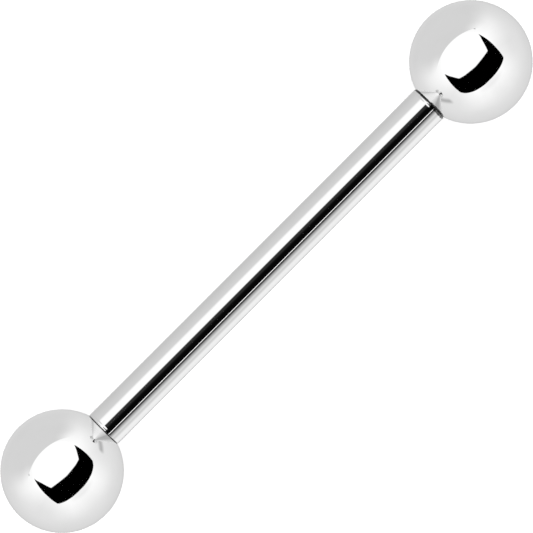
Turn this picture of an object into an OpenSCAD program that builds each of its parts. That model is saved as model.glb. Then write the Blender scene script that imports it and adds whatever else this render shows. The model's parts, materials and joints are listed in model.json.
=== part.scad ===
// Straight barbell for a tongue piercing, lying on its two balls.
// A round bar carries a threaded stud at each end, and a ball screws onto each stud.
// Millimetres. +X runs along the bar and +Z is up. The origin is on the surface that the balls
// stand on, midway between their centres.

/* [Balls] */
// Diameter of each ball
ball_d = 5; // [4:0.5:8]
// Diameter of the small flat round the ball's hole, where the bar's shoulder lands
flat_d = 1.72; // [1.7:0.01:1.9]

/* [Bar] */
// Diameter of the polished bar, 14 gauge
bar_d = 1.63; // [1.5:0.01:1.66]
// Length of the bar from shoulder to shoulder
bar_len = 18.65; // [12:0.01:25]
// Radius that polishing leaves on the bar's end edges
bar_edge_r = 0.06; // [0.03:0.01:0.1]

/* [Fit] */
// Gap between each of the bar's shoulders and the flat of the ball there
seat_gap = 0.02; // [0.01:0.01:0.12]
// Radial clearance between a stud's crests and the ball's hole
thread_clearance = 0.02; // [0.01:0.01:0.05]

/* [Thread] */
// Outside diameter of the threaded studs
thread_d = 1.2; // [1.1:0.05:1.3]
// Distance from one thread crest to the next
thread_pitch = 0.25; // [0.2:0.05:0.3]
// Number of crests on each stud
thread_turns = 8; // [5:1:8]
// Length of the plain neck between a shoulder and its first crest
neck_len = 0.15; // [0.1:0.05:0.3]

/* [Hidden] */
$fn = 96;

ball_r = ball_d / 2;
bar_r = bar_d / 2;
flat_r = flat_d / 2;

// The flat's distance from its ball's centre, where the sphere is as wide as the flat
flat_x = sqrt(ball_r * ball_r - flat_r * flat_r);
// The ball centres lie the same distance either side of the origin
ball_x = bar_len / 2 + seat_gap + flat_x;

// Metric thread form: its flanks meet at 60 degrees and leave a flat crest and a wider flat root
thread_r = thread_d / 2;
thread_depth = 0.6134 * thread_pitch;
root_r = thread_r - thread_depth;
crest_flat = thread_pitch / 8;
flank_run = thread_depth * tan(30);
tip_chamfer = 0.05;
stud_len = neck_len + thread_turns * thread_pitch + tip_chamfer;
// How far a stud's solid reaches back into the bar, so that both are one piece
stud_root_len = 0.5;

// The hole is bored straight, clear of the crests, and its floor is a drill's cone
hole_r = thread_r + thread_clearance;
hole_spare_len = 0.35;
hole_len = stud_len + hole_spare_len;
drill_tip_angle = 118;
drill_tip_len = hole_r / tan(drill_tip_angle / 2);
hole_chamfer = 0.06;

// Half of the bar's outline: the radius runs along X and the bar's length along Y.
// The corner is a circle, so that the polished edge is a true round.
module bar_half_outline() {
    half = bar_len / 2;
    square([bar_r, half - bar_edge_r]);
    square([bar_r - bar_edge_r, half]);
    translate([bar_r - bar_edge_r, half - bar_edge_r])
        circle(bar_edge_r);
}

// Outline of one stud, with Y = 0 at the shoulder. Each crest is a ring at the thread's real
// pitch and depth.
module stud_outline() {
    first_crest = neck_len + thread_pitch / 2;
    crests = [
        for (turn = [0 : thread_turns - 1])
            let (middle = first_crest + turn * thread_pitch)
                each [
                    [root_r, middle - crest_flat / 2 - flank_run],
                    [thread_r, middle - crest_flat / 2],
                    [thread_r, middle + crest_flat / 2],
                    [root_r, middle + crest_flat / 2 + flank_run],
                ]
    ];
    polygon(concat(
        [[0, -stud_root_len], [root_r, -stud_root_len]],
        crests,
        [[root_r, stud_len - tip_chamfer], [root_r - tip_chamfer, stud_len], [0, stud_len]]
    ));
}

module bar_half() {
    rotate_extrude()
        bar_half_outline();
    translate([0, 0, bar_len / 2])
        rotate_extrude()
            stud_outline();
}

// The bar with both studs, one piece of turned and polished steel
module bar() {
    color("silver")
        translate([0, 0, ball_r])
            rotate([0, 90, 0]) {
                bar_half();
                mirror([0, 0, 1])
                    bar_half();
            }
}

// Everything that is cut from a ball, with the ball's centre at the origin and its mouth
// towards -Z: the flat, the lead-in, the straight hole and the drill's cone
module ball_cut() {
    outside = ball_r + 1;
    translate([0, 0, -outside])
        cylinder(h = outside - flat_x, r = ball_r);
    translate([0, 0, -outside])
        cylinder(h = outside - flat_x + hole_len, r = hole_r);
    translate([0, 0, -flat_x])
        cylinder(h = hole_chamfer, r1 = hole_r + hole_chamfer, r2 = hole_r);
    translate([0, 0, hole_len - flat_x])
        cylinder(h = drill_tip_len, r1 = hole_r, r2 = 0);
}

// A ball with its mouth towards -X
module ball() {
    rotate([0, 90, 0])
        difference() {
            sphere(ball_r);
            ball_cut();
        }
}

module right_ball() {
    color("gainsboro")
        translate([ball_x, 0, ball_r])
            ball();
}

module left_ball() {
    color("gainsboro")
        translate([-ball_x, 0, ball_r])
            mirror([1, 0, 0])
                ball();
}

bar();
left_ball();
right_ball();
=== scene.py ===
# %% [markdown]
# A tongue barbell: a round polished bar with a threaded stud turned on each end, and a ball that
# screws onto each stud. Everything that a mirror finish shows is decided by three things: the
# true shape of the metal, the small marks that polishing leaves, and what stands round it to be
# reflected. This script takes them in that order.
#
# The imported part comes first. It fixes where each piece is and how large it is.

# %% Load the imported part
import json
import math

import bmesh
import bpy
from mathutils import Matrix, Vector


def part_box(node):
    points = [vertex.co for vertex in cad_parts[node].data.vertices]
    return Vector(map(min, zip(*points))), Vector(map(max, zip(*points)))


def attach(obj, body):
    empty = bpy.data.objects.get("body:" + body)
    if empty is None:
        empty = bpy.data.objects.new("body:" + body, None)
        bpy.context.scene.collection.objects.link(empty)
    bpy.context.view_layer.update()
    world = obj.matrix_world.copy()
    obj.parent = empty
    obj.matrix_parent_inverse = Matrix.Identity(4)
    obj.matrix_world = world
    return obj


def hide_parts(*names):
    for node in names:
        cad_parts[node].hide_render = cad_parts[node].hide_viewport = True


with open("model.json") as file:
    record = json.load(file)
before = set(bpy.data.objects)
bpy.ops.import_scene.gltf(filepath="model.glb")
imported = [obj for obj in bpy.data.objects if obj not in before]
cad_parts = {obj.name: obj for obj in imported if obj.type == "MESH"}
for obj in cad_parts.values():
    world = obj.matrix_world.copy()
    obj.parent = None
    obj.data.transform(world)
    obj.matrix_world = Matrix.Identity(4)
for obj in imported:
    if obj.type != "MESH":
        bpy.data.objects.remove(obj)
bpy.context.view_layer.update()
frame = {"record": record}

bar_low, bar_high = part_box("bar")
left_low, left_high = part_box("left_ball")
right_low, right_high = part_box("right_ball")

# %% [markdown]
# The pieces are worked out in millimetres, because jewellery is measured in them, and each mesh
# is scaled to metres when it is done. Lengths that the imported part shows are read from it. The
# thread is a fine metric one, M1.2 x 0.25, and its form follows from its pitch.
#
# Both ends are the same, so a stud and its ball are modelled once, in a frame of their own: X = 0
# is the bar's shoulder and +X points out along the stud. A half turn about Z puts the other end
# in place. Mirroring it instead would turn its right-hand thread into a left-hand one.

# %% Sizes of the barbell
MM = 0.001

shaft = frame["record"]["mounts"][0]["dims"]
BAR_R = shaft["r_mm"]
BALL_R = 2.5
FLAT_R = 0.86
AXIS_Z = BALL_R

THREAD_R = 0.6
THREAD_PITCH = 0.25
THREAD_DEPTH = 0.6134 * THREAD_PITCH
CREST_FLAT = THREAD_PITCH / 8
ROOT_R = THREAD_R - THREAD_DEPTH
THREAD_CLEARANCE = 0.02

NECK_LEN = 0.15
FIRST_CREST = NECK_LEN + THREAD_PITCH / 2
STUD_LEN = 2.2
TIP_CHAMFER = 0.05

FLAT_X = math.sqrt(BALL_R ** 2 - FLAT_R ** 2)
right_centre = right_high.x / MM - BALL_R
left_centre = left_low.x / MM + BALL_R
right_shoulder = bar_high.x / MM - STUD_LEN
left_shoulder = bar_low.x / MM + STUD_LEN
right_gap = right_low.x / MM - right_shoulder
left_gap = left_shoulder - left_high.x / MM
print("shoulders at", round(left_shoulder, 3), round(right_shoulder, 3))
print("gaps beside the shoulders", round(left_gap, 3), round(right_gap, 3))

# %% [markdown]
# A few helpers serve every piece. One spins an outline a full turn about X and merges the seam
# and the poles. Another closes a flat ring between two round edges with triangle_fill, which
# takes rings with different numbers of points, and another bevels a sharp rim to a small round.
# The last finishes a mesh: normals outward, scale to metres, smooth shading with the real corners
# kept sharp. It also counts the edges that don't have exactly two faces, and on a closed solid
# that is none.

# %% Helpers for round pieces
SEGMENTS = 128
SHARP_ANGLE = math.radians(28)
WELD = 1e-5
SAME_PLACE = 1e-4


def chain(bm, points):
    """A chain of edges through (x, radius) points, lying in the XY plane."""
    verts = [bm.verts.new((x, radius, 0)) for x, radius in points]
    edges = [bm.edges.new(pair) for pair in zip(verts, verts[1:])]
    return verts, edges


def spin_about_x(bm, geometry):
    """Turn an outline once about X and close the seam and the poles."""
    bmesh.ops.spin(bm, geom=geometry, cent=(0, 0, 0), axis=(1, 0, 0), dvec=(0, 0, 0),
                   angle=math.tau, steps=SEGMENTS, use_merge=True, use_normal_flip=False,
                   use_duplicate=False)
    bmesh.ops.remove_doubles(bm, verts=bm.verts, dist=WELD)


def open_edges_at(bm, x):
    """The free edges that lie in the plane at x."""
    return [e for e in bm.edges
            if e.is_boundary and all(abs(v.co.x - x) < SAME_PLACE for v in e.verts)]


def close_ring(bm, x):
    """Fill the flat ring, or the disc, that the free edges at x leave open."""
    bmesh.ops.triangle_fill(bm, edges=open_edges_at(bm, x), use_beauty=True, use_dissolve=False,
                            normal=(1, 0, 0))


def round_edges(bm, edges, radius, segments):
    """Bevel sharp edges to a small round."""
    bmesh.ops.bevel(bm, geom=edges, offset=radius, offset_type="OFFSET", segments=segments,
                    profile=0.5, affect="EDGES", material=-1, clamp_overlap=True)


def finish_piece(bm, name):
    """Turn the normals outward, scale to metres and make the object."""
    bmesh.ops.recalc_face_normals(bm, faces=bm.faces)
    if bm.calc_volume(signed=True) < 0:
        bmesh.ops.reverse_faces(bm, faces=bm.faces)
    loose = sum(1 for e in bm.edges if len(e.link_faces) != 2)
    volume = bm.calc_volume(signed=True)
    bmesh.ops.scale(bm, vec=(MM, MM, MM), verts=bm.verts)
    mesh = bpy.data.meshes.new(name)
    bm.to_mesh(mesh)
    bm.free()
    mesh.shade_smooth()
    mesh.set_sharp_from_angle(angle=SHARP_ANGLE)
    piece = bpy.data.objects.new(name, mesh)
    bpy.context.scene.collection.objects.link(piece)
    mesh.calc_loop_triangles()
    print(name, len(mesh.loop_triangles), "triangles,", round(volume, 2), "cubic mm,",
          loose, "open edges")
    return piece


# %% [markdown]
# A thread is one small outline, a single pitch long, carried round the axis while it moves along
# it. The spin operator does both at once: its dvec is the step along the axis for each step round
# it. One turn is spun, and copies of it are set a pitch apart, because many small spins are
# quicker than one long one. Each turn's start meets the end of the turn before, so merging
# doubles leaves one unbroken helical surface. It is made longer than needed and cut square at
# both ends with bisect_plane, which is also how a real stud gets its length.
#
# A real thread fades out where the die has no metal to cut. The same happens here: each point's
# distance from the axis is limited by a blank, a plain turned shape with a neck and a chamfered
# tip.

# %% Make a helical thread
STEPS_PER_TURN = 96
FLANK_ANGLE = math.radians(30)
SPARE_TURNS = 2
CUT_TOLERANCE = 1e-6


def helical_surface(bm, x_from, x_to, offset):
    """A right-hand thread surface from x_from to x_to, moved out from its axis by offset."""
    flank = THREAD_DEPTH * math.tan(FLANK_ANGLE)
    root = ROOT_R + offset
    crest = THREAD_R + offset
    half_crest = CREST_FLAT / 2
    middle = (root + crest) / 2
    start = FIRST_CREST - THREAD_PITCH / 2
    outline = [
        (start, root),
        (FIRST_CREST - half_crest - flank, root),
        (FIRST_CREST - half_crest - flank / 2, middle),
        (FIRST_CREST - half_crest, crest),
        (FIRST_CREST + half_crest, crest),
        (FIRST_CREST + half_crest + flank / 2, middle),
        (FIRST_CREST + half_crest + flank, root),
        (start + THREAD_PITCH, root),
    ]
    turns_before = math.ceil((start - x_from) / THREAD_PITCH) + SPARE_TURNS
    turns = turns_before + math.ceil((x_to - start) / THREAD_PITCH) + SPARE_TURNS
    verts, edges = chain(bm, [(x - turns_before * THREAD_PITCH, radius) for x, radius in outline])
    bmesh.ops.spin(bm, geom=verts + edges, cent=(0, 0, 0), axis=(1, 0, 0),
                   dvec=(THREAD_PITCH / STEPS_PER_TURN, 0, 0), angle=math.tau,
                   steps=STEPS_PER_TURN, use_merge=False, use_normal_flip=False,
                   use_duplicate=False)
    one_turn = bm.verts[:] + bm.edges[:] + bm.faces[:]
    for turn in range(1, turns):
        copy = bmesh.ops.duplicate(bm, geom=one_turn)["geom"]
        bmesh.ops.translate(bm, vec=(turn * THREAD_PITCH, 0, 0),
                            verts=[v for v in copy if isinstance(v, bmesh.types.BMVert)])
    bmesh.ops.remove_doubles(bm, verts=bm.verts, dist=SAME_PLACE)
    for x, towards in ((x_from, -1), (x_to, 1)):
        bmesh.ops.bisect_plane(bm, geom=bm.verts[:] + bm.edges[:] + bm.faces[:],
                               dist=CUT_TOLERANCE, plane_co=(x, 0, 0),
                               plane_no=(towards, 0, 0), clear_outer=True, clear_inner=False)
    return bm


def limit_radius(bm, limit):
    """Move each point along its radius to limit(x, radius)."""
    for v in bm.verts:
        radius = math.hypot(v.co.y, v.co.z)
        factor = limit(v.co.x, radius) / radius
        v.co.y *= factor
        v.co.z *= factor


# %% [markdown]
# The stud is turned with a plain neck beside the shoulder, so that the die can run off the last
# thread, and with a 45 degree chamfer at its tip, so that the ball starts easily. Its tip is
# faced flat.

# %% Model one stud
def stud_blank(x, radius):
    """The turned blank: a neck at the shoulder, the full diameter, then the tip's chamfer."""
    neck = ROOT_R + max(0, x - NECK_LEN)
    tip = ROOT_R - TIP_CHAMFER + (STUD_LEN - x)
    return min(radius, neck, tip)


def add_stud(bm, place):
    """Add a threaded stud, open at the shoulder, at the place that the matrix gives."""
    stud = helical_surface(bmesh.new(), 0, STUD_LEN, 0)
    limit_radius(stud, stud_blank)
    close_ring(stud, STUD_LEN)
    bmesh.ops.transform(stud, matrix=place, verts=stud.verts)
    mesh = bpy.data.meshes.new("stud")
    stud.to_mesh(mesh)
    stud.free()
    bm.from_mesh(mesh)
    bpy.data.meshes.remove(mesh)


HALF_TURN = Matrix.Rotation(math.pi, 4, "Z")
AT_AXIS = Matrix.Translation((0, 0, AXIS_Z))
right_place = Matrix.Translation((right_shoulder, 0, 0))
left_place = Matrix.Translation((left_shoulder, 0, 0)) @ HALF_TURN

# %% [markdown]
# The bar is one piece of steel with its two studs. The barrel is an outline spun about X. Its two
# outer edges are broken by polishing, so they are bevelled to a small round. A cloth wheel also
# takes a little more off near an edge, so a tenth of a millimetre from each end the bar steps
# down by three thousandths. That is far too little to feel, but it tilts a mirror surface enough
# to show as a small white nick in the dark stripe. The flat ring of each shoulder then joins the
# barrel to its stud, and the piece is one closed solid.

# %% Model the bar
BAR_EDGE_R = 0.04
BAR_EDGE_SEGMENTS = 6
SEAT_R = 0.7
ROLL_FROM_END = 0.10
ROLL_WIDTH = 0.07
ROLL_DEPTH = 0.003
ROLL_GUARD = 0.006


def make_bar():
    bm = bmesh.new()
    end_r = BAR_R - ROLL_DEPTH
    roll_start = ROLL_FROM_END + ROLL_WIDTH
    roll = [(roll_start + ROLL_GUARD, BAR_R), (roll_start, BAR_R),
            (ROLL_FROM_END + ROLL_WIDTH / 2, BAR_R - ROLL_DEPTH / 2), (ROLL_FROM_END, end_r),
            (ROLL_FROM_END - ROLL_GUARD, end_r), (0, end_r), (0, SEAT_R)]
    verts, edges = chain(bm, [(left_shoulder + x, radius) for x, radius in reversed(roll)]
                         + [(right_shoulder - x, radius) for x, radius in roll])
    spin_about_x(bm, verts + edges)
    rims = [e for e in bm.edges
            if all(min(v.co.x - left_shoulder, right_shoulder - v.co.x) < WELD
                   and math.hypot(v.co.y, v.co.z) > end_r - WELD for v in e.verts)]
    round_edges(bm, rims, BAR_EDGE_R, BAR_EDGE_SEGMENTS)
    add_stud(bm, right_place)
    add_stud(bm, left_place)
    close_ring(bm, right_shoulder)
    close_ring(bm, left_shoulder)
    bmesh.ops.transform(bm, matrix=AT_AXIS, verts=bm.verts)
    return finish_piece(bm, "polished_bar")


polished_bar = make_bar()

# %% [markdown]
# A ball is a sphere with a small flat where the bar's shoulder lands, and a blind tapped hole in
# the flat. The sphere is an arc, itself spun from one point about Z, then spun about X. The hole
# is the stud's own thread surface moved out by the clearance, so it is in step with the stud at
# rest. Its blank works the other way round: the countersink at the mouth widens it, and past the
# tapped length it narrows to the tapping drill's hole, which ends in the cone of the drill's tip.

# %% Model one ball
HOLE_CHAMFER = 0.06
HOLE_R = THREAD_R + THREAD_CLEARANCE
DRILL_R = ROOT_R + THREAD_CLEARANCE
TAPPED_LEN = 2.35
HOLE_LEN = 2.55
DRILL_TIP_ANGLE = math.radians(118)
RIM_R = 0.01
RIM_SEGMENTS = 4
FLAT_INNER_R = 0.78
ARC_STEPS = 72


def make_ball(name, gap, place):
    """A ball whose flat stands off the shoulder at X = 0 by gap."""
    mouth_r = HOLE_R + HOLE_CHAMFER
    centre_x = gap + FLAT_X

    def hole_limit(x, radius):
        depth = x - gap
        widened = max(radius, mouth_r - depth)
        narrowed = max(DRILL_R, HOLE_R - max(0, depth - TAPPED_LEN))
        return min(widened, narrowed) if depth > TAPPED_LEN else widened

    bm = helical_surface(bmesh.new(), gap, gap + HOLE_LEN, THREAD_CLEARANCE)
    limit_radius(bm, hole_limit)
    floor_edge = open_edges_at(bm, gap + HOLE_LEN)
    cone = bmesh.ops.extrude_edge_only(bm, edges=floor_edge)["geom"]
    tip = Vector((gap + HOLE_LEN + DRILL_R / math.tan(DRILL_TIP_ANGLE / 2), 0, 0))
    bmesh.ops.pointmerge(bm, verts=[v for v in cone if isinstance(v, bmesh.types.BMVert)],
                         merge_co=tip)

    pole = bm.verts.new((centre_x + BALL_R, 0, 0))
    arc = bmesh.ops.spin(bm, geom=[pole], cent=(centre_x, 0, 0), axis=(0, 0, 1), dvec=(0, 0, 0),
                         angle=math.pi - math.asin(FLAT_R / BALL_R), steps=ARC_STEPS,
                         use_merge=False, use_normal_flip=False, use_duplicate=False)
    rim = arc["geom_last"][0]
    inner = bm.verts.new((rim.co.x, FLAT_INNER_R, 0))
    bm.edges.new((rim, inner))
    outline = [e for e in bm.edges if e.is_wire]
    spin_about_x(bm, [v for v in bm.verts if v.is_wire] + outline)
    rims = [e for e in bm.edges
            if all(abs(v.co.x - gap) < SAME_PLACE
                   and abs(math.hypot(v.co.y, v.co.z) - FLAT_R) < SAME_PLACE for v in e.verts)]
    round_edges(bm, rims, RIM_R, RIM_SEGMENTS)
    close_ring(bm, gap)
    bmesh.ops.transform(bm, matrix=AT_AXIS @ place, verts=bm.verts)
    return finish_piece(bm, name)


polished_right_ball = make_ball("polished_right_ball", right_gap, right_place)
polished_left_ball = make_ball("polished_left_ball", left_gap, left_place)

# %% [markdown]
# Each new piece rides with its body and stands for the imported solid of the same place, which is
# hidden. The list also gives the slot name of its finish.

# %% Put the pieces in the frame
PIECES = [
    (polished_bar, "bar", "bar_steel"),
    (polished_right_ball, "right_ball", "ball_steel"),
    (polished_left_ball, "left_ball", "ball_steel"),
]
for piece, node, slot in PIECES:
    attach(piece, node)
    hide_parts(node)
    print(piece.name, "rides on", node, "with the finish of", slot)

# %% [markdown]
# Materials are built from nodes, and a few short helpers keep that readable: one adds a node and
# sets its inputs, some add a node of one kind, such as Math, Noise or Mix, and one opens an empty
# node group with named sockets.

# %% Helpers for node trees
def add(tree, kind, inputs=None, **settings):
    """Add a node, set its properties, and set or link its inputs."""
    node = tree.nodes.new(kind)
    for key, value in settings.items():
        setattr(node, key, value)
    for key, value in (inputs or {}).items():
        if isinstance(value, bpy.types.NodeSocket):
            tree.links.new(value, node.inputs[key])
        else:
            node.inputs[key].default_value = value
    return node


def math_node(tree, operation, *values):
    """A Math node's result."""
    return add(tree, "ShaderNodeMath", dict(enumerate(values)), operation=operation).outputs[0]


def vector_node(tree, operation, *values, output=0):
    """A Vector Math node's result."""
    return add(tree, "ShaderNodeVectorMath", dict(enumerate(values)),
               operation=operation).outputs[output]


def scale_vector(tree, vector, factor):
    """A vector made longer or shorter."""
    return add(tree, "ShaderNodeVectorMath", {0: vector, "Scale": factor},
               operation="SCALE").outputs[0]


def noise(tree, position, scale, detail, roughness=0.5):
    """A cloudy pattern with values from 0 to 1."""
    return add(tree, "ShaderNodeTexNoise", {"Vector": position, "Scale": scale, "Detail": detail,
                                            "Roughness": roughness}).outputs[0]


def fade(tree, value, start, end):
    """0 up to start, 1 from end, and smooth between them. Start may be the larger."""
    return add(tree, "ShaderNodeMapRange", {"Value": value, "From Min": start, "From Max": end},
               interpolation_type="SMOOTHSTEP").outputs["Result"]


def blend(tree, factor, first, second):
    """A mix of two numbers."""
    node = add(tree, "ShaderNodeMix", data_type="FLOAT")
    for socket, value in zip((node.inputs[0], node.inputs[2], node.inputs[3]),
                             (factor, first, second)):
        if isinstance(value, bpy.types.NodeSocket):
            tree.links.new(value, socket)
        else:
            socket.default_value = value
    return node.outputs[0]


def new_group(name, inputs, outputs):
    """An empty shader node group. inputs maps a name to its default, outputs lists names."""
    tree = bpy.data.node_groups.new(name, "ShaderNodeTree")
    for label, default in inputs.items():
        kind = "NodeSocketVector" if default is None else "NodeSocketFloat"
        socket = tree.interface.new_socket(label, in_out="INPUT", socket_type=kind)
        if default is not None:
            socket.default_value = default
    for label in outputs:
        tree.interface.new_socket(label, in_out="OUTPUT", socket_type="NodeSocketFloat")
    return tree, tree.nodes.new("NodeGroupInput").outputs, tree.nodes.new("NodeGroupOutput").inputs


# %% [markdown]
# Buffing on a cloth wheel leaves steel mirror bright, but never perfect. Close up there is a
# faint cloudiness where the compound cut less, and a few hairlines from handling, which lie in
# any direction. Both are too small to blur a reflection by much, so the group gives a roughness
# that stays very low and a height in micrometres. Its Position input is in millimetres, centred
# on the piece.
#
# A hairline is the place where a drawn-out noise pattern passes through its middle value. Each
# set has a turn in radians and how far it is drawn out. Two sets at different turns, thinned by a
# third noise, look like wear and not like brushing.

# %% Node group for a buffed surface
CLOUD_SCALE = 0.9
CLOUD_PATCHES = (0.42, 0.72)
HAIRLINE_SETS = ((0.5, 0.05), (2.0, 0.07))
HAIRLINE_AXIS = (0.3, 0.2, 0.9)
HAIRLINE_SCALE = 8.0
HAIRLINE_WIDTH = 0.006
HAIRLINE_PATCHES = (0.5, 0.62)
HAIRLINE_DEPTH = 0.05
WAVE_SCALE = 1.1
WAVE_HEIGHT = 0.35
MIRROR_ROUGHNESS = 0.03
HAZE_ROUGHNESS = 0.05
HAIRLINE_ROUGHNESS = 0.06
HAZE_SHADE = 0.04


def make_buffed_group():
    tree, given, result = new_group(
        "buffed steel", {"Position": None, "Cloudiness": 0.5, "Hairlines": 0.5},
        ["Roughness", "Height", "Tone"])
    position = given["Position"]
    cloud = fade(tree, noise(tree, position, CLOUD_SCALE, 5.0, 0.6), *CLOUD_PATCHES)
    lines = []
    for turn, stretch in HAIRLINE_SETS:
        turned = add(tree, "ShaderNodeVectorRotate", {"Vector": position, "Angle": turn,
                                                      "Axis": HAIRLINE_AXIS}).outputs[0]
        drawn = vector_node(tree, "MULTIPLY", turned,
                            (stretch * HAIRLINE_SCALE, HAIRLINE_SCALE, HAIRLINE_SCALE))
        from_middle = math_node(tree, "SUBTRACT", noise(tree, drawn, 1.0, 1.0), 0.5)
        line = fade(tree, math_node(tree, "ABSOLUTE", from_middle), HAIRLINE_WIDTH, 0.0)
        sparse = noise(tree, position, 1.4 + turn, 1.0)
        lines.append(math_node(tree, "MULTIPLY", line, fade(tree, sparse, *HAIRLINE_PATCHES)))
    hairline = math_node(tree, "MULTIPLY", math_node(tree, "MAXIMUM", *lines), given["Hairlines"])
    haze = math_node(tree, "MULTIPLY", cloud, given["Cloudiness"])
    roughness = math_node(tree, "MULTIPLY_ADD", haze, HAZE_ROUGHNESS, MIRROR_ROUGHNESS)
    roughness = math_node(tree, "MULTIPLY_ADD", hairline, HAIRLINE_ROUGHNESS, roughness)
    tree.links.new(roughness, result["Roughness"])
    wave = math_node(tree, "MULTIPLY", noise(tree, position, WAVE_SCALE, 0.0), WAVE_HEIGHT)
    height = math_node(tree, "MULTIPLY_ADD", hairline, -HAIRLINE_DEPTH, wave)
    tree.links.new(height, result["Height"])
    tone = math_node(tree, "SUBTRACT", 1.0, math_node(tree, "MULTIPLY", haze, HAZE_SHADE))
    tree.links.new(tone, result["Tone"])
    return tree


buffed_group = make_buffed_group()
print(buffed_group.name, "has", len(buffed_group.nodes), "nodes")

# %% [markdown]
# The shoulders, the studs and the holes aren't polished: they keep the marks of the lathe, fine
# rings round the axis with a slightly uneven spacing, and they are duller, with a colour that is a
# little darker towards the roots of the thread. The group takes the distance along the axis and the
# distance from it, both in millimetres. On a flat face the rings follow the radius, and on a stud
# the length, so the two are simply added.

# %% Node group for a turned surface
RING_UNEVENNESS = 1.5
TURNED_ROUGHNESS = 0.16
RING_ROUGHNESS = 0.16
ROOT_TONE = 0.55
CREST_TONE = 0.98


def make_turned_group():
    tree, given, result = new_group(
        "turned steel", {"Along": 0.0, "Radius": 0.0, "Position": None, "Rings per mm": 40.0},
        ["Roughness", "Height", "Tone"])
    run = math_node(tree, "ADD", given["Along"], given["Radius"])
    unevenness = math_node(tree, "MULTIPLY", noise(tree, given["Position"], 3.0, 2.0),
                           RING_UNEVENNESS)
    ring = math_node(tree, "MULTIPLY_ADD", run, given["Rings per mm"], unevenness)
    tool = add(tree, "ShaderNodeTexNoise", {"W": ring, "Scale": 1.0, "Detail": 2.0},
               noise_dimensions="1D").outputs[0]
    roughness = math_node(tree, "MULTIPLY_ADD", tool, RING_ROUGHNESS, TURNED_ROUGHNESS)
    tree.links.new(roughness, result["Roughness"])
    tree.links.new(tool, result["Height"])
    crest = fade(tree, given["Radius"], ROOT_R, THREAD_R)
    tree.links.new(blend(tree, crest, ROOT_TONE, CREST_TONE), result["Tone"])
    return tree


turned_group = make_turned_group()
print(turned_group.name, "has", len(turned_group.nodes), "nodes")

# %% [markdown]
# Where a ball meets the bar there is a narrow gap that lies in shade, and this group paints that
# shade into the steel's colour as one dark line round the joint. The photo has most of it on the
# near half of the right joint and least on the left one. The group is given the distance from the
# shoulder, or from the flat, and darkens the metal that lies close to it: strongly outside the
# radius where the two pieces meet, and less on the faces between them, where the painted shade is
# lighter.

# %% Node group for the painted shade at a joint
JOINT_RADIUS = 0.79
JOINT_RADIUS_FADE = 0.04
JOINT_SHADE_TONE = 0.12
LIGHT_PATCH_JOINT_SHADE = 0.22
FACE_SHADE_TONE = 0.3
LIGHT_PATCH_FACE_SHADE = 0.75
LEFT_JOINT = 0.05
RIGHT_JOINT = 0.5
JOINT_FADE = 1.3
JOINT_PATCHES = (0.4, 0.65)
JOINT_WIDTHS = (1.1, 0.8)


def make_joint_shade_group():
    tree, given, result = new_group(
        "painted joint shade", {"Position": None, "Distance": 0.0, "Radius": 0.0, "Width": 0.03,
                       "Right": 0.0, "Near": 0.0}, ["Tone"])
    # All the darkening in this group is painted shade of the gap at a joint. Noise makes it lighter
    # in some patches.
    lighter_patch = fade(tree, noise(tree, given["Position"], 4.0, 4.0), *JOINT_PATCHES)
    right_amount = blend(tree, given["Near"], RIGHT_JOINT, 1.0)
    amount = blend(tree, given["Right"], LEFT_JOINT, right_amount)
    uneven_width = math_node(tree, "MULTIPLY", given["Width"], blend(tree, lighter_patch, *JOINT_WIDTHS))
    width = math_node(tree, "MULTIPLY", uneven_width, amount)
    start = math_node(tree, "MULTIPLY", width, JOINT_FADE)
    close = fade(tree, given["Distance"], start, width)
    outside = fade(tree, given["Radius"], JOINT_RADIUS - JOINT_RADIUS_FADE, JOINT_RADIUS)
    face = blend(tree, lighter_patch, FACE_SHADE_TONE, LIGHT_PATCH_FACE_SHADE)
    line = blend(tree, lighter_patch, JOINT_SHADE_TONE, LIGHT_PATCH_JOINT_SHADE)
    depth = blend(tree, outside, face, line)
    tree.links.new(blend(tree, close, 1.0, depth), result["Tone"])
    return tree


joint_shade_group = make_joint_shade_group()
print(joint_shade_group.name, "has", len(joint_shade_group.nodes), "nodes")

# %% [markdown]
# The steel itself is one recipe that is used twice, once for each slot of the record. A mask says
# where the piece is polished. It needs no painting: on the bar the polish is where the surface is
# far from the axis, and on a ball where it is far from the ball's centre, and both are read from
# Object coordinates, which move with the piece.
#
# The steel is a neutral grey of 0.74. That is a chosen value and not a measured one, and the
# light of the tents further down is worked out from it.

# %% Material for polished steel
STEEL = 0.74
BUMP_DEPTH = 1e-6
JOINT_SHADE_NEAR_HALF = (0.05, -0.15)


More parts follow.
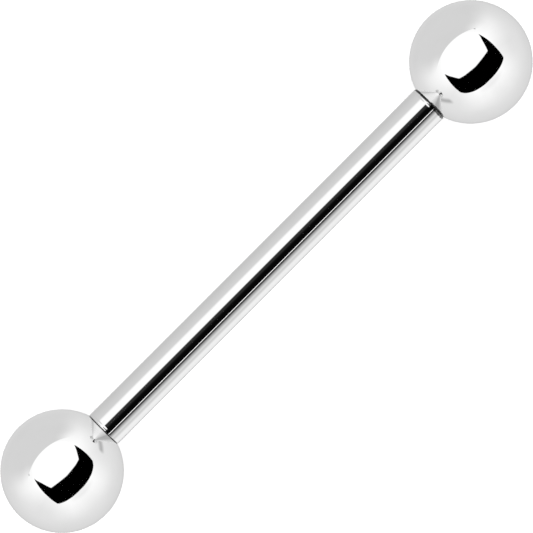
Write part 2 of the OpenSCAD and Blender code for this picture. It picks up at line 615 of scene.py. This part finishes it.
def make_steel(name, is_ball, middle_x, end_x, joint_x, joint_width, polished_at):
    """Steel that is polished where its distance from the axis, or from a ball's centre, is large.

    Both ends are treated alike: end_x is how far from middle_x a shoulder or a ball's centre lies.
    joint_x is where the joint's plane lies from there, and joint_width the width of the shade
    painted at the joint."""
    material = bpy.data.materials.new(name)
    material.use_nodes = True
    tree = material.node_tree
    shader = tree.nodes["Principled BSDF"]

    place = add(tree, "ShaderNodeTexCoord").outputs["Object"]
    place = scale_vector(tree, place, 1 / MM)
    parts = add(tree, "ShaderNodeSeparateXYZ", {0: place}).outputs
    from_middle = math_node(tree, "SUBTRACT", parts["X"], middle_x)
    along = math_node(tree, "SUBTRACT", math_node(tree, "ABSOLUTE", from_middle), end_x)
    up = math_node(tree, "SUBTRACT", parts["Z"], AXIS_Z)
    across = add(tree, "ShaderNodeCombineXYZ", {1: parts["Y"], 2: up}).outputs[0]
    radius = vector_node(tree, "LENGTH", across, output="Value")
    centred = add(tree, "ShaderNodeCombineXYZ", {0: parts["X"], 1: parts["Y"], 2: up}).outputs[0]
    reach = radius
    if is_ball:
        from_centre = add(tree, "ShaderNodeCombineXYZ",
                          {0: along, 1: parts["Y"], 2: up}).outputs[0]
        reach = vector_node(tree, "LENGTH", from_centre, output="Value")
    polished = fade(tree, reach, *polished_at)

    buffed = add(tree, "ShaderNodeGroup", {"Position": centred}, node_tree=buffed_group)
    turned = add(tree, "ShaderNodeGroup", {"Along": along, "Radius": radius, "Position": centred},
                 node_tree=turned_group)

    roughness = blend(tree, polished, turned.outputs["Roughness"], buffed.outputs["Roughness"])
    height = blend(tree, polished, turned.outputs["Height"], buffed.outputs["Height"])
    tone = blend(tree, polished, turned.outputs["Tone"], buffed.outputs["Tone"])
    # Painted shade: the joint group darkens the colour where the narrow gap at each joint lies in
    # shade, most on the near half of the right joint.
    distance = math_node(tree, "ABSOLUTE", math_node(tree, "SUBTRACT", along, joint_x))
    near = fade(tree, parts["Y"], *JOINT_SHADE_NEAR_HALF)
    right = math_node(tree, "GREATER_THAN", parts["X"], 0.0)
    joint = add(tree, "ShaderNodeGroup",
                {"Position": centred, "Distance": distance, "Radius": radius, "Right": right,
                 "Near": near, "Width": joint_width}, node_tree=joint_shade_group)
    tone = math_node(tree, "MULTIPLY", tone, joint.outputs["Tone"])
    shade = scale_vector(tree, (STEEL, STEEL, STEEL), tone)
    bump = add(tree, "ShaderNodeBump", {"Height": height, "Distance": BUMP_DEPTH})
    tree.links.new(shade, shader.inputs["Base Color"])
    tree.links.new(roughness, shader.inputs["Roughness"])
    tree.links.new(bump.outputs[0], shader.inputs["Normal"])
    shader.inputs["Metallic"].default_value = 1.0
    return material


bar_middle = (left_shoulder + right_shoulder) / 2
bar_steel = make_steel(
    "bar_steel", is_ball=False, middle_x=bar_middle, end_x=right_shoulder - bar_middle,
    joint_x=0, joint_width=0.1, polished_at=(BAR_R - 0.03, BAR_R - 0.01))
ball_steel = make_steel(
    "ball_steel", is_ball=True, middle_x=0, end_x=right_centre,
    joint_x=-FLAT_X, joint_width=0.004, polished_at=(BALL_R - 0.02, BALL_R - 0.005))
for piece, material in ((polished_bar, bar_steel), (polished_right_ball, ball_steel),
                        (polished_left_ball, ball_steel)):
    piece.data.materials.append(material)
    print(piece.name, "is made of", material.name)

# %% [markdown]
# The camera looks straight down, from far enough that the barbell is almost free of perspective,
# and is turned so that the right ball is at the picture's upper right. The photo is square and
# 21.55 mm wide at the height of the barbell's middle, at 24.73 pixels to a millimetre, and the
# long lens sets how far away that puts the camera.

# %% Set the camera
PICTURE_PX = 533
PX_PER_MM = 24.734
PICTURE_WIDTH = PICTURE_PX / PX_PER_MM
BAR_ANGLE = math.radians(45.03)
LENS = 500
SENSOR = 36
NEAREST_M = 0.01
FARTHEST_M = 10

camera_data = bpy.data.cameras.new("camera")
camera_data.lens = LENS
camera_data.sensor_width = SENSOR
camera_data.clip_start = NEAREST_M
camera_data.clip_end = FARTHEST_M
camera_height = AXIS_Z + PICTURE_WIDTH * LENS / SENSOR
camera = bpy.data.objects.new("camera", camera_data)
camera.location = (0, 0, camera_height * MM)
camera.rotation_euler = (0, 0, -BAR_ANGLE)
bpy.context.scene.collection.objects.link(camera)
bpy.context.scene.camera = camera
bpy.context.scene.view_settings.view_transform = "Standard"
print("camera", round(camera_height), "mm above the floor")

# %% [markdown]
# The floor is plain and pale. Mirror metal doesn't see it: what the metal reflects is set further
# down. It could be a box with a thickness, but one flat sheet that lets rays through from below
# leaves the underside of the barbell open to be looked at.

# %% Floor
FLOOR_SIZE = 2.0
FLOOR_COLOUR = (0.8, 0.8, 0.8, 1)
FLOOR_ROUGHNESS = 0.9


def make_floor():
    bm = bmesh.new()
    bmesh.ops.create_grid(bm, x_segments=1, y_segments=1, size=FLOOR_SIZE / 2)
    mesh = bpy.data.meshes.new("floor")
    bm.to_mesh(mesh)
    bm.free()
    floor = bpy.data.objects.new("floor", mesh)
    bpy.context.scene.collection.objects.link(floor)
    floor.visible_glossy = False
    material = bpy.data.materials.new("pale_floor")
    material.use_nodes = True
    tree = material.node_tree
    shader = tree.nodes["Principled BSDF"]
    shader.inputs["Base Color"].default_value = FLOOR_COLOUR
    shader.inputs["Roughness"].default_value = FLOOR_ROUGHNESS
    shader.inputs["Specular IOR Level"].default_value = 0.0
    from_below = add(tree, "ShaderNodeNewGeometry").outputs["Backfacing"]
    clear = add(tree, "ShaderNodeBsdfTransparent").outputs[0]
    mix = add(tree, "ShaderNodeMixShader", {0: from_below, 1: shader.outputs[0], 2: clear})
    tree.links.new(mix.outputs[0], tree.nodes["Material Output"].inputs["Surface"])
    mesh.materials.append(material)
    print("floor", FLOOR_SIZE, "m wide")


make_floor()

# %% [markdown]
# Soft white light from every side falls on the floor. It is strong enough that the ground beside
# the barbell is pure white, as in the photo, and only the places right under the balls and the
# bar keep a little shade. The camera sees the same daylight as plain white.

# %% Daylight
DAYLIGHT = 2.0


def make_daylight():
    world = bpy.data.worlds.new("daylight")
    bpy.context.scene.world = world
    world.use_nodes = True
    tree = world.node_tree
    background = tree.nodes["Background"]
    seen = add(tree, "ShaderNodeLightPath").outputs["Is Camera Ray"]
    tree.links.new(blend(tree, seen, DAYLIGHT, 1.0), background.inputs["Strength"])
    background.inputs["Color"].default_value = (1, 1, 1, 1)
    world.cycles_visibility.glossy = False


make_daylight()
print("daylight strength", DAYLIGHT)

# %% [markdown]
# A mirror shows its surroundings, so the studio is modelled as what the metal reflects. In a real
# studio such jewellery lies inside a light tent: a white cloth all round, one bright panel above,
# and a black card that gives the metal its dark shape. In the photo the two balls show mirror
# images of one such setting, and the bar shows another. A photographer would have to shoot them
# apart. Here each piece gets a tent of its own, a sphere that glows inward, and light linking
# lets only that piece see it. The tents add light without blocking any, so they can stand inside
# each other.
#
# What the tents show is given as the grey, from 0 to 255, that the steel should reach in the
# picture, so a helper turns that into the light that steel of this brightness needs. The tables
# of greys were set by measuring the photo and changing the numbers until the render agreed with
# it. A grey above 255 is light that the picture can't show. Each tent faces the camera, which
# sees the two balls from a little to one side.

# %% Helpers for the light tents
TENT_R = 0.25
BRIGHTEST = 2.6


def light_for(grey):
    """The light that makes polished steel look as grey as this."""
    level = grey / 255
    linear = level / 12.92 if level <= 0.04045 else ((level + 0.055) / 1.055) ** 2.4
    return linear / STEEL


def curve(tree, value, points):
    """A Float Curve with straight stretches through points. Both axes run from 0 to 1."""
    node = add(tree, "ShaderNodeFloatCurve", {"Value": value})
    line = node.mapping.curves[0]
    for x, y in points[2:]:
        line.points.new(x, y)
    for point, place in zip(line.points, points):
        point.location = place
        point.handle_type = "VECTOR"
    node.mapping.update()
    return node.outputs[0]


def glow_curve(tree, degrees, table):
    """Light that follows a short table of angle and grey."""
    low = table[0][0]
    high = table[-1][0]
    share = math_node(tree, "DIVIDE", math_node(tree, "SUBTRACT", degrees, low), high - low)
    points = [((angle - low) / (high - low), light_for(grey) / BRIGHTEST) for angle, grey in table]
    return math_node(tree, "MULTIPLY", curve(tree, share, points), BRIGHTEST)


def make_tent(name, receiver, centre_x, build_glow):
    """A sphere of light round one piece, which only that piece sees."""
    bm = bmesh.new()
    bmesh.ops.create_icosphere(bm, subdivisions=4, radius=TENT_R)
    mesh = bpy.data.meshes.new(name)
    bm.to_mesh(mesh)
    bm.free()
    tent = bpy.data.objects.new(name, mesh)
    tent.location = (centre_x * MM, 0, AXIS_Z * MM)
    tent.rotation_euler = (0, math.atan2(-centre_x, camera_height - AXIS_Z), 0)
    bpy.context.scene.collection.objects.link(tent)
    for ray in ("visible_camera", "visible_diffuse", "visible_shadow", "visible_transmission"):
        setattr(tent, ray, False)
    material = bpy.data.materials.new(name)
    material.use_nodes = True
    material.cycles.emission_sampling = "NONE"
    tree = material.node_tree
    tree.nodes.remove(tree.nodes["Principled BSDF"])
    glow = add(tree, "ShaderNodeEmission", {"Strength": build_glow(tree)}).outputs[0]
    clear = add(tree, "ShaderNodeBsdfTransparent").outputs[0]
    both = add(tree, "ShaderNodeAddShader", {0: glow, 1: clear}).outputs[0]
    tree.links.new(both, tree.nodes["Material Output"].inputs["Surface"])
    mesh.materials.append(material)
    group = bpy.data.collections.new(name + "_lights")
    group.objects.link(receiver)
    tent.light_linking.receiver_collection = group
    print(name, "is seen only by", receiver.name)


def tent_direction(tree):
    """The direction from the tent's centre, as X, Y and Z."""
    place = add(tree, "ShaderNodeTexCoord").outputs["Object"]
    return add(tree, "ShaderNodeSeparateXYZ", {0: vector_node(tree, "NORMALIZE", place)}).outputs


# %% [markdown]
# Round each ball the tent is bright on the near side and a flat grey on the far side, with a
# white panel overhead. The near cloth hangs in a few soft folds, and it is a little darker right
# beside the card. A tent could be real cloth with lamps behind it, but a glow that follows the
# direction from the ball gives a mirror the same picture without any noise.
#
# Angles here are measured in degrees from straight overhead. A place round the tent is its Side,
# which is 1 towards the camera's lower right and -1 away from it. The folds are a table of that
# place and of how much brighter or darker the cloth is there.

# %% Cloth and panel round a ball
NEAR_SIDE = [(0, 258), (54, 258), (59, 250), (90, 235), (110, 225), (145, 211), (155, 203),
             (165, 189), (180, 172)]
FAR_SIDE = [(0, 211), (110, 211), (150, 207), (165, 195), (180, 172)]
FOLDS = [(-1.0, 1.0), (-0.5, 1.03), (-0.26, 1.045), (0.0, 0.985), (0.26, 0.91), (0.5, 0.93),
         (0.7, 1.0), (0.87, 1.05), (0.97, 1.03), (1.0, 1.0)]
FOLD_LOW = 0.8
FOLD_HIGH = 1.2
PANEL_ENDS = (44.0, 50.0)
FOLDS_END = (120.0, 80.0)
CARD_SIDE = (0.8, 1.0)
CARD_SHADE_ENDS = (67.0, 54.0)
CARD_SHADE = 0.14
NEAR_SIDE_STARTS = (-0.78, -0.36)
WALL_LEAN = -0.1
WALL_LEAN_ANGLES = (85.0, 65.0)
PANEL_EDGE = -1.36
PANEL_EDGE_FADE = 0.03


def cloth_folds(tree, angle, side):
    """How much the folds and the shade beside the card change the near cloth's light."""
    share = math_node(tree, "MULTIPLY_ADD", side, 0.5, 0.5)
    span = FOLD_HIGH - FOLD_LOW
    points = [((place + 1) / 2, (gain - FOLD_LOW) / span) for place, gain in FOLDS]
    fold = math_node(tree, "MULTIPLY_ADD", curve(tree, share, points), span, FOLD_LOW)
    off_panel = fade(tree, angle, *PANEL_ENDS)
    on_wall = math_node(tree, "MULTIPLY", off_panel, fade(tree, angle, *FOLDS_END))
    low_card = math_node(tree, "MULTIPLY", off_panel, fade(tree, angle, *CARD_SHADE_ENDS))
    by_card = math_node(tree, "MULTIPLY", fade(tree, side, *CARD_SIDE), low_card)
    return math_node(tree, "MULTIPLY", blend(tree, on_wall, 1.0, fold),
                     blend(tree, by_card, 1.0, 1.0 - CARD_SHADE))


def cloth_glow(tree, angle, near_y, z, near, overhead):
    """The light of the near cloth, the far cloth and the panel."""
    level = math_node(tree, "SQRT", math_node(tree, "SUBTRACT", 1.0001,
                                              math_node(tree, "POWER", z, 2.0)))
    side = math_node(tree, "DIVIDE", near_y, level)
    wall_end = math_node(tree, "MULTIPLY", fade(tree, angle, *WALL_LEAN_ANGLES), WALL_LEAN)
    bright = fade(tree, math_node(tree, "SUBTRACT", side, wall_end), *NEAR_SIDE_STARTS)
    panel = math_node(tree, "MULTIPLY", overhead,
                      fade(tree, near, PANEL_EDGE - PANEL_EDGE_FADE, PANEL_EDGE + PANEL_EDGE_FADE))
    bright = math_node(tree, "MAXIMUM", bright, panel)
    near_glow = math_node(tree, "MULTIPLY", glow_curve(tree, angle, NEAR_SIDE),
                          cloth_folds(tree, angle, side))
    return blend(tree, bright, glow_curve(tree, angle, FAR_SIDE), near_glow)


print("cloth: near side in", len(NEAR_SIDE), "rows, far side in", len(FAR_SIDE), "rows")

# %% [markdown]
# The black card hangs under the panel and gives each ball its dark shape. Places on the card are
# given as on a flat ceiling one unit above the ball: Out runs away from the bar, and Near towards
# the camera's lower right. The card's outline is two short tables of Out and Near, the edge
# towards the panel and the edge away from it, so whatever lies between the two edges is black. A
# small dark clip holds the panel's outer corner.

# %% Card and clip
CARD_PANEL_SIDE = [(-1.74, 1.05), (-1.70, 0.83), (-1.60, 0.42), (-1.50, 0.065), (-1.40, -0.33),
                   (-1.36, -0.51), (-1.30, -0.45), (-1.10, -0.225), (-1.00, -0.127),
                   (-0.77, 0.125), (-0.50, 0.173), (0.0, 0.208), (0.75, 0.149), (0.85, -0.058),
                   (0.95, -0.256), (1.15, -0.553), (1.255, -0.74), (1.30, -0.36), (1.40, 0.383),
                   (1.50, 0.745), (1.62, 1.20), (1.66, 1.40)]
CARD_OUTER_SIDE = [(-1.70, 0.86), (-1.60, 0.964), (-1.50, 1.056), (-1.30, 1.123), (-1.00, 1.182),
                   (-0.75, 1.193), (-0.25, 1.191), (0.0, 1.17), (0.25, 1.194), (0.75, 1.251),
                   (1.0, 1.28), (1.50, 1.285), (1.62, 1.22), (1.66, 1.20)]
CARD_SPAN = 2.0
CARD_EDGE_FADE = (-0.01, 0.02)
CLIP_OUT = 1.65
CLIP_NEAR = -1.31
CLIP_R = 0.07
CLIP_DARKNESS = 0.7


def card_edge(tree, out, table):
    """Where one edge of the card lies along Near, for a place along Out."""
    share = math_node(tree, "MULTIPLY_ADD", out, 0.5 / CARD_SPAN, 0.5)
    points = [((x / CARD_SPAN + 1) / 2, (y / CARD_SPAN + 1) / 2) for x, y in table]
    points = [(0, points[0][1])] + points + [(1, points[-1][1])]
    return math_node(tree, "MULTIPLY_ADD", curve(tree, share, points), 2 * CARD_SPAN, -CARD_SPAN)


def card_and_clip(tree, out, near):
    """How dark the ceiling is: 1 on the card, less on the clip, 0 elsewhere."""
    past = math_node(tree, "SUBTRACT", near, card_edge(tree, out, CARD_PANEL_SIDE))
    before = math_node(tree, "SUBTRACT", card_edge(tree, out, CARD_OUTER_SIDE), near)
    card = fade(tree, math_node(tree, "MINIMUM", past, before), *CARD_EDGE_FADE)
    beside = math_node(tree, "POWER", math_node(tree, "SUBTRACT", out, CLIP_OUT), 2.0)
    behind = math_node(tree, "POWER", math_node(tree, "SUBTRACT", near, CLIP_NEAR), 2.0)
    clip = fade(tree, math_node(tree, "SQRT", math_node(tree, "ADD", beside, behind)),
                CLIP_R * 1.5, CLIP_R * 0.5)
    return math_node(tree, "MAXIMUM", card, math_node(tree, "MULTIPLY", clip, CLIP_DARKNESS))


print("card:", len(CARD_PANEL_SIDE), "and", len(CARD_OUTER_SIDE), "points along its edges")

# %% [markdown]
# Low beside the bar each ball shows a small soft smudge. It is taken as something thin and dark
# that leans there, such as a stand's arm: a short line on the bar's side of the tent, from one
# place to another along Near and up, with soft edges.

# %% Stand beside the bar
STAND_FROM = (0.10, -0.21)
STAND_TO = (0.275, -0.03)
STAND_HALF_WIDTH = 0.065
STAND_DARKNESS = 0.42


def stand_shade(tree, out_x, near_y, z):
    """How dark the stand is: 1 along its line, 0 away from it."""
    run = Vector(STAND_TO) - Vector(STAND_FROM)
    direction = (*run.normalized(), 0)
    from_start = add(tree, "ShaderNodeCombineXYZ", {
        0: math_node(tree, "SUBTRACT", near_y, STAND_FROM[0]),
        1: math_node(tree, "SUBTRACT", z, STAND_FROM[1])}).outputs[0]
    along = vector_node(tree, "DOT_PRODUCT", from_start, direction, output="Value")
    held = math_node(tree, "MINIMUM", math_node(tree, "MAXIMUM", along, 0.0), run.length)
    nearest = scale_vector(tree, direction, held)
    away = vector_node(tree, "DISTANCE", from_start, nearest, output="Value")
    shade = fade(tree, away, 2 * STAND_HALF_WIDTH, 0.0)
    return math_node(tree, "MULTIPLY", shade, math_node(tree, "LESS_THAN", out_x, 0.0))


stand_len = (Vector(STAND_TO) - Vector(STAND_FROM)).length
print("stand", round(stand_len, 3), "of the tent's radius long")

# %% [markdown]
# The cloth, the card, the clip and the stand now make one glow, where what is dark takes light
# away from the cloth. The left ball's tent is the right one's mirror image: its Out runs the
# other way.

# %% Tents for the balls
CEILING_FROM = 0.1
CEILING_LOWEST = 0.05


def ball_glow(outward):
    """The glow round a ball. Outward is 1 for the right ball and -1 for the left one."""
    def build(tree):
        x, y, z = tent_direction(tree)
        out_x = math_node(tree, "MULTIPLY", x, outward)
        near_y = math_node(tree, "MULTIPLY", y, -1.0)
        angle = math_node(tree, "DEGREES", math_node(tree, "ARCCOSINE", z))
        above = math_node(tree, "MAXIMUM", z, CEILING_LOWEST)
        out = math_node(tree, "DIVIDE", out_x, above)
        near = math_node(tree, "DIVIDE", near_y, above)
        overhead = math_node(tree, "GREATER_THAN", z, CEILING_FROM)
        glow = cloth_glow(tree, angle, near_y, z, near, overhead)
        dark = math_node(tree, "MULTIPLY", overhead, card_and_clip(tree, out, near))
        stand = math_node(tree, "MULTIPLY", stand_shade(tree, out_x, near_y, z), STAND_DARKNESS)
        dark = math_node(tree, "MAXIMUM", dark, stand)
        return math_node(tree, "MULTIPLY", glow, math_node(tree, "SUBTRACT", 1.0, dark))
    return build


make_tent("right_ball_tent", polished_right_ball, right_centre, ball_glow(1))
make_tent("left_ball_tent", polished_left_ball, left_centre, ball_glow(-1))

# %% [markdown]
# The bar is straight, so its reflections run along it as stripes, and its tent only changes with
# the angle round the bar. From the far side to the near one the photo shows grey, the white
# panel, a broad black stripe, one thin bright line, a dark line that fades out, and a soft band
# of light from the floor. The angle is 0 overhead and positive towards the near side.
#
# The balls show the bar's reflection only faintly in the photo. Light that reaches the camera by
# way of a ball has bounced twice, so the tent looks at the Ray Depth and shows such light a paler
# set of stripes, given as they should look in the ball. Where the bar's surface tilts a little
# towards its ends, which only the rolled-off rings do when seen from the camera, the white panel
# reaches further into the dark stripe and makes the nick.

# %% Tent for the bar
BAR_STRIPES = [(-180, 187), (-130, 195), (-60, 211), (-52, 243), (-47, 256), (-19, 256),
               (-13.8, 252), (-9.9, 46), (0, 47), (10, 12), (16, 6), (38.9, 6), (39.6, 325),
               (41.3, 325), (41.9, 25), (48, 50), (57, 155), (69, 206), (75, 218), (85, 202),
               (103, 240), (130, 238), (150, 212), (180, 80)]
BAR_SEEN_IN_BALLS = [(-180, 190), (-125, 204), (-93, 184), (-84, 214), (-46, 232), (-8, 234),
                     (10, 216), (34, 190), (42, 169), (80, 172), (93, 194), (140, 207), (180, 188)]
NICK_STARTS = (0.10, 0.13)
NICK_ENDS = (0.35, 0.30)
NICK_ANGLES = (30.0, 10.0)
NICK_SHIFT = 26.0
ONE_BOUNCE = 1.5


def bar_glow(tree):
    """The glow round the bar, in stripes along it."""
    x, y, z = tent_direction(tree)
    angle = math_node(tree, "DEGREES",
                      math_node(tree, "ARCTAN2", math_node(tree, "MULTIPLY", y, -1.0), z))
    tilt = math_node(tree, "ABSOLUTE", x)
    tilted = math_node(tree, "MULTIPLY", fade(tree, tilt, *NICK_STARTS),
                       fade(tree, tilt, *NICK_ENDS))
    upper = fade(tree, angle, *NICK_ANGLES)
    shift = math_node(tree, "MULTIPLY", math_node(tree, "MULTIPLY", tilted, upper), NICK_SHIFT)
    angle = math_node(tree, "SUBTRACT", angle, shift)
    stripes = glow_curve(tree, angle, BAR_STRIPES)
    bounces = add(tree, "ShaderNodeLightPath").outputs["Ray Depth"]
    second_hand = math_node(tree, "GREATER_THAN", bounces, ONE_BOUNCE)
    in_balls = math_node(tree, "DIVIDE", glow_curve(tree, angle, BAR_SEEN_IN_BALLS), STEEL)
    return blend(tree, second_hand, stripes, in_balls)


make_tent("bar_tent", polished_bar, 0, bar_glow)
